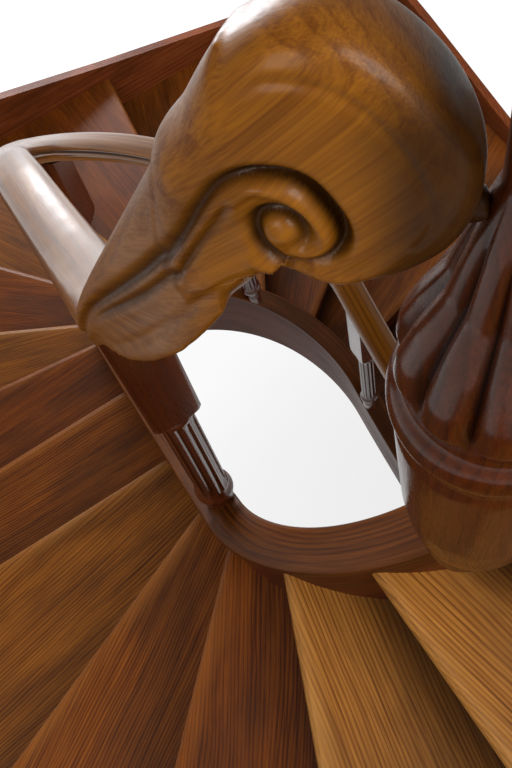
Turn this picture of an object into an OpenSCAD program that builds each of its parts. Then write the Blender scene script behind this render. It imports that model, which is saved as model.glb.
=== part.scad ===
// Winding timber stair round an open well, climbing anticlockwise to a quarter landing.
// Frame: X runs from the left wall into the room, Y along the left wall, Z up.
// The origin lies on the back face of the left wall string, at the middle of its length
// and level with the top of step 12. Plan names: well = the open shaft, hall = the room's plan.

/* [Steps] */
// Height from one step to the next
riser = 170; // [150:5:185]
// Going of a straight step, measured at the well string
going = 296; // [270:2:310]
// Going of the lower winders, measured at the well string
lower_going = 161; // [150:1:166]
// Going of the upper winders, measured at the well string
upper_going = 152; // [144:1:158]
// Turn from one winder to the next, in degrees
winder_turn = 22.5; // [21.5:0.5:22.5]
// Clear width of the steps, from the well string to the wall string
step_w = 1100; // [950:10:1250]
// Thickness of a tread board
tread_t = 32; // [26:1:40]
// Distance that a tread's nosing stands out past its riser
nosing = 30; // [22:1:38]
// Thickness of a riser board
riser_t = 20; // [16:1:24]

/* [Well] */
// Radius of the well string's face at the two round ends
well_r = 410; // [390:5:440]
// Length of the well's straight sides
well_len = 810; // [790:5:860]

/* [Strings] */
// Thickness of the well string
string_t = 56; // [44:2:66]
// Depth of a string below the nosing line
string_drop = 252; // [235:2:300]
// Height of the well string's top over the nosing line
string_rise = 26; // [16:2:50]
// Thickness of the capping on the well string
cap_t = 24; // [18:1:30]
// Distance that the capping stands out past the well string on each side
cap_out = 10; // [6:1:14]
// Thickness of a wall string
wall_t = 34; // [28:1:42]
// Height of a wall string's top over the nosing line
wall_rise = 70; // [40:2:110]

/* [Handrail] */
// Height of the handrail's top over the nosing line
rail_h = 850; // [800:5:900]
// Width of the handrail
rail_w = 96; // [80:1:110]
// Depth of the handrail
rail_d = 84; // [70:1:96]
// Distance of the handrail's centre line from the well string's, towards the well
rail_in = 10; // [0:1:14]
// Height that the handrail's crown climbs over its own line as it rolls into the scroll
scroll_rise = 175; // [150:5:190]

/* [Balusters] */
// Radius of a baluster's fluted shaft
shaft_r = 29; // [25:0.5:32]
// Width of a baluster's square block
block_w = 80; // [68:1:82]
// Number of flutes round a baluster
flutes = 12; // [8:1:14]

/* [Newels] */
// Radius of a newel's carved bulb
bulb_r = 88; // [76:1:96]
// Radius of a newel's neck
neck_r = 22; // [18:1:26]
// Number of carved lobes round a newel
lobes = 10; // [8:1:12]

/* [Landing] */
// Depth of the joists under the landing
joist_d = 150; // [120:5:180]
// Thickness of a joist
joist_t = 50; // [40:2:60]

/* [Hidden] */

// Step numbers: the last step before each change of going
first_winder = 4;
last_lower_winder = 11;
last_straight = 13;
last_step = 19;
// Clearance between a step and the string that houses it
seat = 0.3;
// Height of the capping's lips over the string's top edge
lip = 1;
// Distance from the start of the well's side to the first riser
start_gap = 105;
// Turn of the first winder past the well's straight side, in degrees
first_turn = 15;
floor_z = -12 * riser;
string_x = wall_t + step_w;
well_cx = string_x + well_r;
far_y = well_len / 2;
near_y = -well_len / 2;
hall_x = well_cx + well_r + step_w;
hall_y = far_y + well_r + step_w;
arc_len = PI * well_r;
// Where each stretch of the well string ends, along its face from the foot
side_1 = well_len;
turn_1 = side_1 + arc_len;
side_2 = turn_1 + well_len;
turn_2 = side_2 + arc_len;

wood = [0.45, 0.22, 0.08];
wood_dark = [0.33, 0.15, 0.06];
wood_gold = [0.62, 0.36, 0.12];

// A point at distance s along the well string's face, moved out by off towards the steps
function well_pt(s, off = 0) =
    s <= side_1 ? [well_cx + well_r + off, near_y + s]
    : s <= turn_1 ? let (a = (s - side_1) / well_r * 180 / PI)
        [well_cx + (well_r + off) * cos(a), far_y + (well_r + off) * sin(a)]
    : s <= side_2 ? [well_cx - well_r - off, far_y - (s - turn_1)]
    : let (a = 180 + (s - side_2) / well_r * 180 / PI)
        [well_cx + (well_r + off) * cos(a), near_y + (well_r + off) * sin(a)];

// The direction out of the well at distance s, in degrees
function well_dir(s) =
    s <= side_1 ? 0
    : s <= turn_1 ? (s - side_1) / well_r * 180 / PI
    : s <= side_2 ? 180
    : 180 + min((s - side_2) / well_r * 180 / PI, 180);

// Where step n's nosing meets the well string
mid_going = (going + lower_going) / 2;
winder_4 = side_1 + well_r * first_turn * PI / 180;
step_11 = winder_4 + 7 * lower_going;
step_13 = step_11 + mid_going + 40 + going;
step_14 = step_13 + mid_going - 22;
function step_s(n) =
    n < first_winder ? start_gap + going * (n - 1)
    : n <= last_lower_winder ? winder_4 + lower_going * (n - first_winder)
    : n == 12 ? step_13 - going
    : n == 13 ? step_13
    : step_14 + upper_going * (n - 14);

// The direction of step n's nosing line, in degrees
function step_dir(n) =
    n < first_winder ? 0
    : n <= last_lower_winder ? first_turn + winder_turn * (n - first_winder)
    : n <= last_straight ? 180
    : n <= last_step ? 180 + winder_turn * (n - last_straight)
    : 360;

function dir(a) = [cos(a), sin(a)];
function ahead(a) = [-sin(a), cos(a)];
function step_z(n) = floor_z + riser * n;

step_marks = concat([[start_gap - going, step_z(0)]],
    [for (n = [1:last_step]) [step_s(n), step_z(n)]], [[turn_2, step_z(last_step)]]);

// Height of the nosing line over the well string at s, eased over a stretch of length span
ease_n = 6;
function nosing_z(s, span = 300) =
    let (d = span / ease_n, v = [for (i = [0:ease_n]) lookup(s - span / 2 + i * d, step_marks)])
    (v * [for (i = [0:ease_n]) 1]) / (ease_n + 1);

// Evenly spaced places from a to b, no further apart than step
function places(a, b, step) = let (n = ceil((b - a) / step)) [for (i = [0:n]) a + (b - a) * i / n];

// One tube through rings of points, each ring with the same number of points.
// Each four-cornered patch is two triangles, and other_way picks the other diagonal.
module loft(rings, other_way = false) {
    n = len(rings[0]);
    m = len(rings);
    points = [for (r = rings) each r];
    sides = [for (j = [0:m - 2]) for (i = [0:n - 1])
        let (a = j * n + i, b = j * n + (i + 1) % n)
        each other_way ? [[a, b, a + n], [b, b + n, a + n]] : [[a, b, b + n], [a, b + n, a + n]]];
    faces = concat([[for (i = [n - 1:-1:0]) i]], sides, [[for (i = [0:n - 1]) (m - 1) * n + i]]);
    polyhedron(points, faces, convexity = 6);
}

// A ring of the section, a list of [out, up] points, standing upright across the well string at s
function ring_at(s, z, section) =
    [for (p = section) let (q = well_pt(s, p[0])) [q[0], q[1], z + p[1]]];

// The well's outline in plan, grown by grow
ring_step = 54;
well_marks = concat(places(0, side_1, well_len), places(side_1, turn_1, ring_step),
    places(turn_1, side_2, well_len), places(side_2, turn_2, ring_step));
module well_plan(grow) {
    polygon([for (s = well_marks) well_pt(s, grow)]);
}

// The places of the rings from a to b, which on the turns are the outline's own
ring_marks = concat(places(0, side_1, ring_step), places(side_1, turn_1, ring_step),
    places(turn_1, side_2, ring_step), places(side_2, turn_2, ring_step));
function rings_from(a, b) = concat([a], [for (s = ring_marks) if (s > a + 1 && s < b - 1) s], [b]);

// The foot newel's drum stands in the line of the well string, which ends at it.
// The top newel stands on the capping, which runs on under it.
newel_r = 0.9 * bulb_r;
foot_newel_s = start_gap - 65;
top_newel_s = step_s(18) - 20;
// Distance of the top newel's axis from the string's face, towards the steps
top_newel_off = -10;
module foot_newel_plan() {
    translate(well_pt(foot_newel_s, -string_t / 2)) circle(r = newel_r + seat, $fn = 64);
}

// Plan of a strip between the nosing line of step a moved on by back_a, and that of step b by back_b
reach = 4500;
inset = 90;
module strip_plan(a, back_a, b, back_b, clear = seat) {
    pa = well_pt(step_s(a)) + ahead(step_dir(a)) * back_a;
    pb = (b > last_step ? well_pt(turn_2) : well_pt(step_s(b))) + ahead(step_dir(b)) * back_b;
    da = dir(step_dir(a));
    db = dir(step_dir(b));
    difference() {
        intersection() {
            polygon([pa - da * inset, pa + da * reach, pb + db * reach, pb - db * inset]);
            translate([wall_t + seat, -hall_y + seat])
                square([hall_x - wall_t - 2 * seat, 2 * hall_y - 2 * seat]);
        }
        well_plan(clear);
        foot_newel_plan();
    }
}

// A rounded board edge: a plank's section with a half-round front, extruded along a nosing line
nose_n = 6;
module nosed_board(n, t) {
    r = t / 2;
    section = concat([[3000, -r], [3000, r]],
        [for (i = [0:nose_n]) let (a = 90 + 180 * i / nose_n) [r + r * cos(a), r * sin(a)]]);
    p = well_pt(step_s(n));
    translate([p[0], p[1], step_z(n) - r])
        rotate([0, 0, step_dir(n) + 90])
            rotate([90, 0, 0])
                translate([0, 0, -300])
                    linear_extrude(reach)
                        polygon(section);
}

module tread(n) {
    color(n % 2 == 0 ? wood : wood_gold)
        intersection() {
            translate([0, 0, step_z(n) - tread_t])
                linear_extrude(tread_t)
                    strip_plan(n, 0, n + 1, nosing + riser_t);
            nosed_board(n, tread_t);
        }
}

module riser_board(n) {
    color(wood_dark)
        translate([0, 0, step_z(n - 1)])
            linear_extrude(riser - tread_t)
                strip_plan(n, nosing, n, nosing + riser_t);
}

module risers_lower() {
    for (n = [1:6]) riser_board(n);
}

module risers_middle() {
    for (n = [7:13]) riser_board(n);
}

module risers_upper() {
    for (n = [14:last_step]) riser_board(n);
}

// The deck stops under the capping's outer edge
module landing_deck() {
    color(wood)
        intersection() {
            translate([0, 0, step_z(last_step) - tread_t])
                linear_extrude(tread_t)
                    strip_plan(last_step, 0, last_step + 1, 0, cap_out + seat);
            nosed_board(last_step, tread_t);
        }
}

// Joists run from the near wall string to the landing's open edge
joist_count = 3;
module landing_joists() {
    top = step_z(last_step) - tread_t;
    x0 = well_cx + well_r + 2 * joist_t;
    pitch = (hall_x - joist_t - x0 - seat) / (joist_count - 1);
    color(wood_dark)
        intersection() {
            union() {
                for (i = [0:joist_count - 1])
                    translate([x0 + i * pitch, -hall_y + seat, top - joist_d])
                        cube([joist_t, hall_y + near_y - seat, joist_d]);
            }
            translate([0, 0, top - 2 * joist_d])
                linear_extrude(2 * joist_d)
                    strip_plan(last_step, nosing + riser_t + seat, last_step + 1, 0);
        }
}

function string_ring(s) =
    let (z = nosing_z(s), top = z + string_rise, low = max(floor_z, z - string_drop))
    [for (p = [[0, low], [0, top], [-string_t, top], [-string_t, low]])
        let (q = well_pt(s, p[0])) [q[0], q[1], p[1]]];

module string_piece(a, b) {
    color(wood_dark) loft([for (s = rings_from(a, b)) string_ring(s)]);
}

joint = 0.3;
// How far a cutting solid reaches past what it cuts
cut_reach = 150;
// Distance along the string's face from a newel's axis to the string's end at it
newel_gap = newel_r + 4;
// The upper string is joined past the top newel, where the landing begins
string_split = [for (s = ring_marks) if (s > step_s(last_step) + ring_step) s][0];
module well_string_foot() { string_piece(foot_newel_s + newel_gap, side_1 - joint); }
module well_string_turn() { string_piece(side_1, turn_1 - joint); }
module well_string_side() { string_piece(turn_1, side_2 - joint); }
module well_string_wreath() { string_piece(side_2, string_split - joint); }
module well_string_landing() { string_piece(string_split, turn_2); }

cap_r = 6;
cap_section = [[cap_out, lip], [cap_out, cap_t - cap_r], [cap_out - cap_r, cap_t],
    [-string_t - cap_out + cap_r, cap_t], [-string_t - cap_out, cap_t - cap_r],
    [-string_t - cap_out, lip], [-string_t, 0], [0, 0]];
module cap_loft(a, b, section) {
    loft([for (s = rings_from(a, b)) ring_at(s, nosing_z(s) + string_rise + seat, section)],
        other_way = true);
}
module cap_piece(a, b) {
    color(wood) cap_loft(a, b, cap_section);
}
module string_cap_foot() { cap_piece(foot_newel_s + newel_gap, side_1 - joint); }
module string_cap_turn() { cap_piece(side_1, turn_1 - joint); }
module string_cap_side() { cap_piece(turn_1, side_2 - joint); }
module string_cap_wreath() { cap_piece(side_2, string_split - joint); }
module string_cap_landing() { cap_piece(string_split, turn_2); }

// The space that the capping from a to b and all below it take up, for what stands on it
module over_cap(a, b) {
    side = cap_t - cap_r + seat;
    cap_loft(a, b, [[cut_reach, -cut_reach], [cut_reach, side], [cap_out, side], [cap_out - cap_r, cap_t + seat],
        [-string_t - cap_out + cap_r, cap_t + seat], [-string_t - cap_out, side],
        [-string_t - cut_reach, side], [-string_t - cut_reach, -cut_reach]]);
}

// Unrolled distance along the hall's walls, from the right wall's near end, climbing
wall_y = 2 * hall_y;
wall_x = hall_x - wall_t;
corner_1 = wall_y;
corner_2 = corner_1 + wall_x;
corner_3 = corner_2 + wall_y;
corner_4 = corner_3 + wall_x;
function wall_hit(n) =
    let (p = well_pt(step_s(n)), d = dir(step_dir(n)),
        tx = d[0] > 0.001 ? (hall_x - p[0]) / d[0] : d[0] < -0.001 ? (wall_t - p[0]) / d[0] : 1e6,
        ty = d[1] > 0.001 ? (hall_y - p[1]) / d[1] : d[1] < -0.001 ? (-hall_y - p[1]) / d[1] : 1e6,
        q = p + d * min(tx, ty))
    ty < tx ? (d[1] > 0 ? corner_1 + hall_x - q[0] : corner_3 + q[0] - wall_t)
    : (d[0] > 0 ? hall_y + q[1] : corner_2 + hall_y - q[1]);
wall_marks = [for (n = [1:last_step]) [wall_hit(n), step_z(n)]];
function wall_z(t) = lookup(t, wall_marks);

// A wall string's outline, as distance along its wall and height
module wall_outline(a, b) {
    marks = concat([a], [for (m = wall_marks) if (m[0] > a + 1 && m[0] < b - 1) m[0]], [b]);
    top = [for (t = marks) [t - a, wall_z(t) + wall_rise]];
    low = [for (i = [len(marks) - 1:-1:0])
        [marks[i] - a, max(floor_z, wall_z(marks[i]) - string_drop)]];
    polygon(concat(top, low));
}

wall_start = hall_y + near_y + start_gap;
module wall_string_right() {
    color(wood_dark)
        translate([hall_x, -hall_y + wall_start, 0])
            rotate([90, 0, 90])
                linear_extrude(wall_t) wall_outline(wall_start, corner_1);
}
module wall_string_far() {
    color(wood_dark)
        translate([hall_x, hall_y + wall_t, 0])
            mirror([1, 0, 0]) rotate([90, 0, 0])
                linear_extrude(wall_t) wall_outline(corner_1, corner_2);
}
module wall_string_left() {
    color(wood_dark)
        translate([0, hall_y, 0])
            rotate([0, 0, -90]) rotate([90, 0, 0])
                mirror([0, 0, 1]) linear_extrude(wall_t) wall_outline(corner_2, corner_3);
}
module wall_string_near() {
    color(wood_dark)
        translate([wall_t, -hall_y, 0])
            rotate([90, 0, 0])
                linear_extrude(wall_t) wall_outline(corner_3, corner_4);
}

rail_c = -string_t / 2 - rail_in;
// The handrail's base is a little wider than the blocks of the balusters under it
rail_base = block_w / 2 + 1;
base_share = 2 * rail_base / rail_w;
// Half of the handrail's moulded section, from its crown down, as [share of half width, share of depth]
rail_half = [[0.42, 0.99], [0.78, 0.9], [0.97, 0.72], [1, 0.56], [0.9, 0.42], [0.8, 0.36],
    [base_share, 0.28], [base_share, 0]];
function rail_section(depth) = concat(
    [for (i = [len(rail_half) - 1:-1:0]) let (p = rail_half[i]) [p[0] * rail_w / 2, (p[1] - 1) * depth]],
    [for (p = rail_half) [-p[0] * rail_w / 2, (p[1] - 1) * depth]]);
rail_span = 420;
function rail_top(s) = nosing_z(s, rail_span) + rail_h;
module rail_loft(a, b, section) {
    loft([for (s = rings_from(a, b)) ring_at(s, rail_top(s), section)]);
}
module rail_piece(a, b) {
    color(wood_gold) rail_loft(a, b, [for (p = rail_section(rail_d)) [rail_c + p[0], p[1]]]);
}

// The space that the handrail from a to b and all above it take up, for what reaches up to it
module under_rail(a, b) {
    low = -rail_d - seat;
    wing = rail_base + block_w / 8;
    rail_loft(a, b, [[rail_c + rail_base, low], [rail_c + wing, low - lip], [rail_c + wing, cut_reach],
        [rail_c - wing, cut_reach], [rail_c - wing, low - lip], [rail_c - rail_base, low]]);
}
rail_start = foot_newel_s - rail_w;
module handrail_foot() { rail_piece(rail_start, side_1 - joint); }
module handrail_turn() { rail_piece(side_1, turn_1 - joint); }
module handrail_side() { rail_piece(turn_1, side_2 - joint); }

// The handrail's end: it deepens and banks as it climbs, and rolls over into an upright scroll.
// The scroll's frame has X out of the well, Y ahead, and leans back by scroll_lean.
// Place of the scroll's eye: its turn from the straight side, and its distances out of the string's face
// and over the handrail's line. It stays short of the top newel by at least eye_gap.
eye_gap = 140;
eye_turn = 49;
eye_s = min(side_2 + well_r * eye_turn * PI / 180, top_newel_s - eye_gap);
eye_out = 25;
eye_z = rail_top(eye_s) + 0.36 * scroll_rise;
scroll_lean = 20;
module at_scroll() {
    p = well_pt(eye_s, eye_out);
    translate([p[0], p[1], eye_z]) rotate([0, -scroll_lean, well_dir(eye_s)]) children();
}

// The wreath before it, by the share of its run: how far its lower edge rises and its middle moves out
wreath_run = (eye_s - side_2) * 40 / 49;
wreath_end = 1.1;
wreath_low = [[0, 0], [0.8, 25], [1, 55], [wreath_end, 85]];
wreath_flare = 20;
function wreath_ring(k) =
    let (s = side_2 + k * wreath_run, crown = scroll_rise * sin(90 * k),
        depth = rail_d + crown - lookup(k, wreath_low), bank = tan(scroll_lean) * min(k, 1))
    ring_at(s, rail_top(s) + crown, [for (p = rail_section(depth))
        [rail_c + p[0] + wreath_flare * k * k, p[1] + p[0] * bank * (1 + p[1] / depth)]]);

// The scroll's outline as [ahead, up] from its eye: the wreath's end, the crown, the round front and the lip
scroll_r = 72;
scroll_front = [18, 27];
scroll_outline = concat([[-84, 22], [-66, 47], [-37, 80]],
    [for (a = [100:-15:-95]) scroll_front + scroll_r * dir(a)],
    [[2, -35], [-21, -42], [-41, -65], [-80, -88]]);

// The groove that winds in to the eye: quarter turns, each on the same tangent as the last
groove_radii = [60, 38, 32, 26, 20, 15];
groove_start = [-2, -21];
function groove_centre(i) =
    i == 0 ? groove_start
    : groove_centre(i - 1) + (groove_radii[i - 1] - groove_radii[i]) * dir(180 - 90 * i);
groove_w = 9;
groove_d = 7;
module scroll_groove() {
    for (i = [0:len(groove_radii) - 1])
        translate(groove_centre(i))
            rotate([0, 0, 90 - 90 * i])
                rotate_extrude(angle = 90, $fn = 64)
                    polygon([[groove_radii[i] - groove_w / 2, seat], [groove_radii[i], -groove_d],
                        [groove_radii[i] + groove_w / 2, seat]]);
}

eye_r = 9;
module handrail_wreath() {
    color(wood_gold)
        difference() {
            union() {
                loft([for (k = [0:0.1:wreath_end + 0.01]) wreath_ring(k)]);
                at_scroll() rotate([90, 0, 90]) {
                    difference() {
                        translate([0, 0, -rail_w]) linear_extrude(rail_w) polygon(scroll_outline);
                        scroll_groove();
                    }
                    translate([0, 0, -groove_d]) cylinder(r = eye_r, h = groove_d + 3, $fn = 32);
                }
                scroll_peg();
            }
            newel_body(newel_pt, 0, cap_top(top_newel_s), rail_top(top_newel_s), 0, seat);
        }
}

// The peg that ties the scroll's front to the top newel's neck
peg_r = 13;
peg_start = 40;
peg_drop = 42;
newel_pt = well_pt(top_newel_s, top_newel_off);
module scroll_peg() {
    q = well_pt(eye_s, eye_out - rail_w / 2) + ahead(well_dir(eye_s)) * peg_start;
    d = newel_pt - q;
    translate([q[0], q[1], eye_z - peg_drop])
        rotate([0, 90, atan2(d[1], d[0])])
            cylinder(r = peg_r, h = norm(d), $fn = 32);
}

// A newel's turned form, from its base to its neck, as [share of bulb_r, share of height]
newel_form = [[0.7, 0], [0.8, 0.02], [0.89, 0.07], [0.97, 0.16], [1.01, 0.29], [1.04, 0.41], [1, 0.435],
    [1.06, 0.455], [1.11, 0.48], [1.06, 0.505], [0.95, 0.52], [0.95, 0.54], [1, 0.56], [0.95, 0.6],
    [0.8, 0.65], [0.57, 0.71], [0.4, 0.8]];
neck_share = 0.86;
// The lobes are carved between these two points of the form
lobe_low = newel_form[12];
lobe_top = newel_form[16];
lobe_cut = 7;
finial_h = 60;

// The turned form on a base, with its neck up to head, and grown by grow where it is a cutting solid
module newel_body(p, under, base, head, finial, grow) {
    h = head - base;
    form = concat([[newel_form[0][0] * bulb_r, -under]], [for (q = newel_form) [q[0] * bulb_r, q[1] * h]],
        [[neck_r, neck_share * h], [neck_r, h]],
        [for (q = [[1.5, 0.1], [1.6, 0.35], [1.3, 0.7], [0.6, 1]]) if (finial > 0) [q[0] * neck_r, h + q[1] * finial]]);
    translate([p[0], p[1], base])
        rotate_extrude($fn = 64)
            polygon(concat([[0, -under]], [for (q = form) [q[0] + grow, q[1]]], [[0, h + finial]]));
}

module carved_newel(p, under, base, head, finial) {
    h = head - base;
    run = (lobe_top[1] - lobe_low[1]) * h;
    lean = atan2((lobe_low[0] - lobe_top[0]) * bulb_r, run);
    difference() {
        newel_body(p, under, base, head, finial, 0);
        for (i = [0:lobes - 1])
            translate([p[0], p[1], base + lobe_low[1] * h])
                rotate([0, 0, i * 360 / lobes])
                    translate([lobe_low[0] * bulb_r, 0, 0])
                        rotate([0, -lean, 0])
                            cylinder(r = lobe_cut, h = run / cos(lean), $fn = 24);
    }
}
function cap_top(s) = nosing_z(s) + string_rise + seat + cap_t;

// The foot newel rises from a drum on the floor, and the top newel is cut to the raking capping
module newel_foot() {
    p = well_pt(foot_newel_s, -string_t / 2);
    color(wood_dark)
        difference() {
            union() {
                translate([p[0], p[1], floor_z]) cylinder(r = newel_r, h = riser, $fn = 64);
                carved_newel(p, riser / 2, floor_z + riser, rail_top(foot_newel_s), 0);
            }
            under_rail(rail_start, side_1 - joint);
        }
}
module newel_top() {
    color(wood_dark)
        difference() {
            carved_newel(newel_pt, cut_reach / 2, cap_top(top_newel_s), rail_top(top_newel_s), finial_h);
            over_cap(side_2, string_split - joint);
        }
}

// The runs of the string's capping or of the rail that a baluster at s reaches, each from a to b
function runs_at(s, start) =
    [for (r = [[start, side_1], [side_1, turn_1], [turn_1, side_2]])
        if (s + block_w / 2 > r[0] && s - block_w / 2 < r[1]) [r[0], r[1] - joint]];

// A baluster: a foot on the raking capping, a flared ring, a fluted shaft, a bead and a square block
foot_r = string_t / 2 + cap_out - rail_in;
flute_low = 92;
flute_top = 420;
block_low = 448;
flute_r = 0.8 * PI * shaft_r / flutes;
module fluted_plan() {
    difference() {
        circle(r = shaft_r, $fn = 64);
        for (i = [0:flutes - 1])
            rotate([0, 0, (i + 0.5) * 360 / flutes])
                translate([shaft_r + flute_r / 3, 0])
                    circle(r = flute_r, $fn = 16);
    }
}

module baluster_form(h) {
    rotate_extrude($fn = 64)
        polygon([[0, -cut_reach / 2], [foot_r, -cut_reach / 2], [foot_r, 26], [foot_r - 4, 40], [shaft_r + 3, 58],
            [shaft_r + 7, 66], [shaft_r + 7, 76], [shaft_r + 1, 86], [shaft_r, flute_low], [0, flute_low]]);
    translate([0, 0, flute_low]) linear_extrude(flute_top - flute_low) fluted_plan();
    rotate_extrude($fn = 64)
        polygon([[0, flute_top], [shaft_r, flute_top], [shaft_r + 5, flute_top + 6], [shaft_r + 5, flute_top + 14],
            [shaft_r, flute_top + 20], [shaft_r, block_low], [0, block_low]]);
    // The block's lower corners are turned to a round shoulder
    intersection() {
        translate([-block_w / 2, -block_w / 2, block_low]) cube([block_w, block_w, h - block_low]);
        rotate_extrude($fn = 64)
            polygon([[0, block_low], [shaft_r + 3, block_low], [block_w * 0.66, block_low + 16],
                [block_w * 0.72, block_low + 34], [block_w * 0.72, h], [0, h]]);
    }
}

module baluster(s) {
    p = well_pt(s, rail_c);
    foot = cap_top(s);
    color(wood_dark)
        difference() {
            translate([p[0], p[1], foot])
                rotate([0, 0, well_dir(s)]) baluster_form(rail_top(s) - foot);
            for (r = runs_at(s, foot_newel_s + newel_gap)) over_cap(r[0], r[1]);
            for (r = runs_at(s, rail_start)) under_rail(r[0], r[1]);
        }
}

// The last baluster stands at the end of the rail's straight side
baluster_gap = 530;
top_baluster_s = side_2 - block_w / 2 - 1;
module balusters_upper() {
    for (i = [0:2]) baluster(top_baluster_s - i * baluster_gap);
}
module balusters_lower() {
    for (i = [3:4]) baluster(top_baluster_s - i * baluster_gap);
}

tread(1);  // tread_01
tread(2);  // tread_02
tread(3);  // tread_03
tread(4);  // tread_04
tread(5);  // tread_05
tread(6);  // tread_06
tread(7);  // tread_07
tread(8);  // tread_08
tread(9);  // tread_09
tread(10);  // tread_10
tread(11);  // tread_11
tread(12);  // tread_12
tread(13);  // tread_13
tread(14);  // tread_14
tread(15);  // tread_15
tread(16);  // tread_16
tread(17);  // tread_17
tread(18);  // tread_18
risers_lower();
risers_middle();
risers_upper();
landing_deck();
landing_joists();
well_string_foot();
well_string_turn();
well_string_side();
well_string_wreath();
well_string_landing();
string_cap_foot();
string_cap_turn();
string_cap_side();
string_cap_wreath();
string_cap_landing();
wall_string_right();
wall_string_far();
wall_string_left();
wall_string_near();
handrail_foot();
handrail_turn();
handrail_side();
handrail_wreath();
newel_foot();
newel_top();
balusters_lower();
balusters_upper();
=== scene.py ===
"""A winding staircase of brown polished wood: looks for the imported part, in metres, in its own frame."""

import math

import bpy
import numpy as np
from mathutils import Euler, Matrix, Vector


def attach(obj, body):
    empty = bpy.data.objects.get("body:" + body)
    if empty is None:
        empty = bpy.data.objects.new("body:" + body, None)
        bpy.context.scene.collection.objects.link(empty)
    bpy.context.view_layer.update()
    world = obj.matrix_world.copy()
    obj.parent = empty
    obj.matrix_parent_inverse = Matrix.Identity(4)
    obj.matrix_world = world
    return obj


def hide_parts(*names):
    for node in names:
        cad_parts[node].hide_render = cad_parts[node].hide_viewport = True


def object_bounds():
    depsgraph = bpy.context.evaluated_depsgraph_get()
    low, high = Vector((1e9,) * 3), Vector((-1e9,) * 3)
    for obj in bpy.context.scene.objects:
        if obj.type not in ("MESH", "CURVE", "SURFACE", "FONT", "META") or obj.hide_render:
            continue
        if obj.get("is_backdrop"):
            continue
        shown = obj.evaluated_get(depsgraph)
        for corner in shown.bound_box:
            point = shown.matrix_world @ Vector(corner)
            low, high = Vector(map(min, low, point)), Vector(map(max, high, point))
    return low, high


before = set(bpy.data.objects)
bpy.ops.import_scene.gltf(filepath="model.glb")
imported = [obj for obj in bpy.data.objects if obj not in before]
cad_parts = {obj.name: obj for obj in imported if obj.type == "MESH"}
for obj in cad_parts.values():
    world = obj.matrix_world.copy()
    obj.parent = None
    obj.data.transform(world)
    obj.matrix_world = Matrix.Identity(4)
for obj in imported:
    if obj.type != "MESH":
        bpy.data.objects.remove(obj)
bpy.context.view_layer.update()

# The part's own sizes in millimetres, as in its source
RISER, GOING, LOWER_GOING, UPPER_GOING, WINDER_TURN = 170, 296, 161, 152, 22.5
STEP_W, NOSING = 1100, 30
WELL_R, WELL_LEN = 410, 810
STRING_T, STRING_DROP, STRING_RISE = 56, 252, 26
CAP_T, CAP_OUT, WALL_T = 24, 10, 34
RAIL_H, RAIL_W, RAIL_D, RAIL_IN, SCROLL_RISE = 850, 96, 84, 10, 175
SHAFT_R, BLOCK_W, FLUTES, BULB_R, NECK_R, LOBES = 29, 80, 12, 88, 22, 10
START_GAP, FIRST_TURN, SEAT, RING_STEP = 105, 15, 0.3, 54
FIRST_WINDER, LAST_LOWER_WINDER, ORIGIN_STEP, LAST_STRAIGHT, LANDING_STEP = 4, 11, 12, 13, 19
BALUSTER_GAP = 530
# Spans over which the string and the rail ease the nosing line's bends
STRING_SPAN, RAIL_SPAN = 300, 420
# Turn of the scroll's eye and of the wreath's end round the well's upper end, in degrees
EYE_TURN, WREATH_TURN = 49, 40
FLOOR_Z = -ORIGIN_STEP * RISER
WELL_CX = WALL_T + STEP_W + WELL_R
FAR_Y, NEAR_Y = WELL_LEN / 2, -WELL_LEN / 2
SIDE_1 = WELL_LEN
TURN_1 = SIDE_1 + math.pi * WELL_R
SIDE_2 = TURN_1 + WELL_LEN
TURN_2 = SIDE_2 + math.pi * WELL_R
MID_GOING = (GOING + LOWER_GOING) / 2
WINDER_4 = SIDE_1 + WELL_R * math.radians(FIRST_TURN)
STEP_11 = WINDER_4 + (LAST_LOWER_WINDER - FIRST_WINDER) * LOWER_GOING
# Step 12's going is longer than the mean of its neighbours', and step 14's is shorter
LONGER_12, SHORTER_14 = 40, 22
STEP_13 = STEP_11 + MID_GOING + LONGER_12 + GOING
STEP_14 = STEP_13 + MID_GOING - SHORTER_14
RAIL_C = -STRING_T / 2 - RAIL_IN


def well_pt(s, off=0.0):
    """A point at distance s along the well string's face, moved out by off towards the steps."""
    if s <= SIDE_1:
        return WELL_CX + WELL_R + off, NEAR_Y + s
    if s <= TURN_1:
        a = (s - SIDE_1) / WELL_R
        return WELL_CX + (WELL_R + off) * math.cos(a), FAR_Y + (WELL_R + off) * math.sin(a)
    if s <= SIDE_2:
        return WELL_CX - WELL_R - off, FAR_Y - (s - TURN_1)
    a = math.pi + (s - SIDE_2) / WELL_R
    return WELL_CX + (WELL_R + off) * math.cos(a), NEAR_Y + (WELL_R + off) * math.sin(a)


def well_dir(s):
    """The direction out of the well at distance s, in radians."""
    if s <= TURN_1:
        return max(0.0, (s - SIDE_1) / WELL_R)
    return math.pi + max(0.0, (s - SIDE_2) / WELL_R)


def step_s(n):
    """Where step n's nosing meets the well string."""
    if n < FIRST_WINDER:
        return START_GAP + GOING * (n - 1)
    if n <= LAST_LOWER_WINDER:
        return WINDER_4 + LOWER_GOING * (n - FIRST_WINDER)
    if n <= LAST_STRAIGHT:
        return STEP_13 - GOING * (LAST_STRAIGHT - n)
    return STEP_14 + UPPER_GOING * (n - LAST_STRAIGHT - 1)


def step_dir(n):
    """The direction of step n's nosing line, in degrees."""
    if n < FIRST_WINDER:
        return 0
    if n <= LAST_LOWER_WINDER:
        return FIRST_TURN + WINDER_TURN * (n - FIRST_WINDER)
    if n <= LAST_STRAIGHT:
        return 180
    return 180 + WINDER_TURN * (n - LAST_STRAIGHT)


def step_z(n):
    """Height of step n's top."""
    return FLOOR_Z + RISER * n


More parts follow.
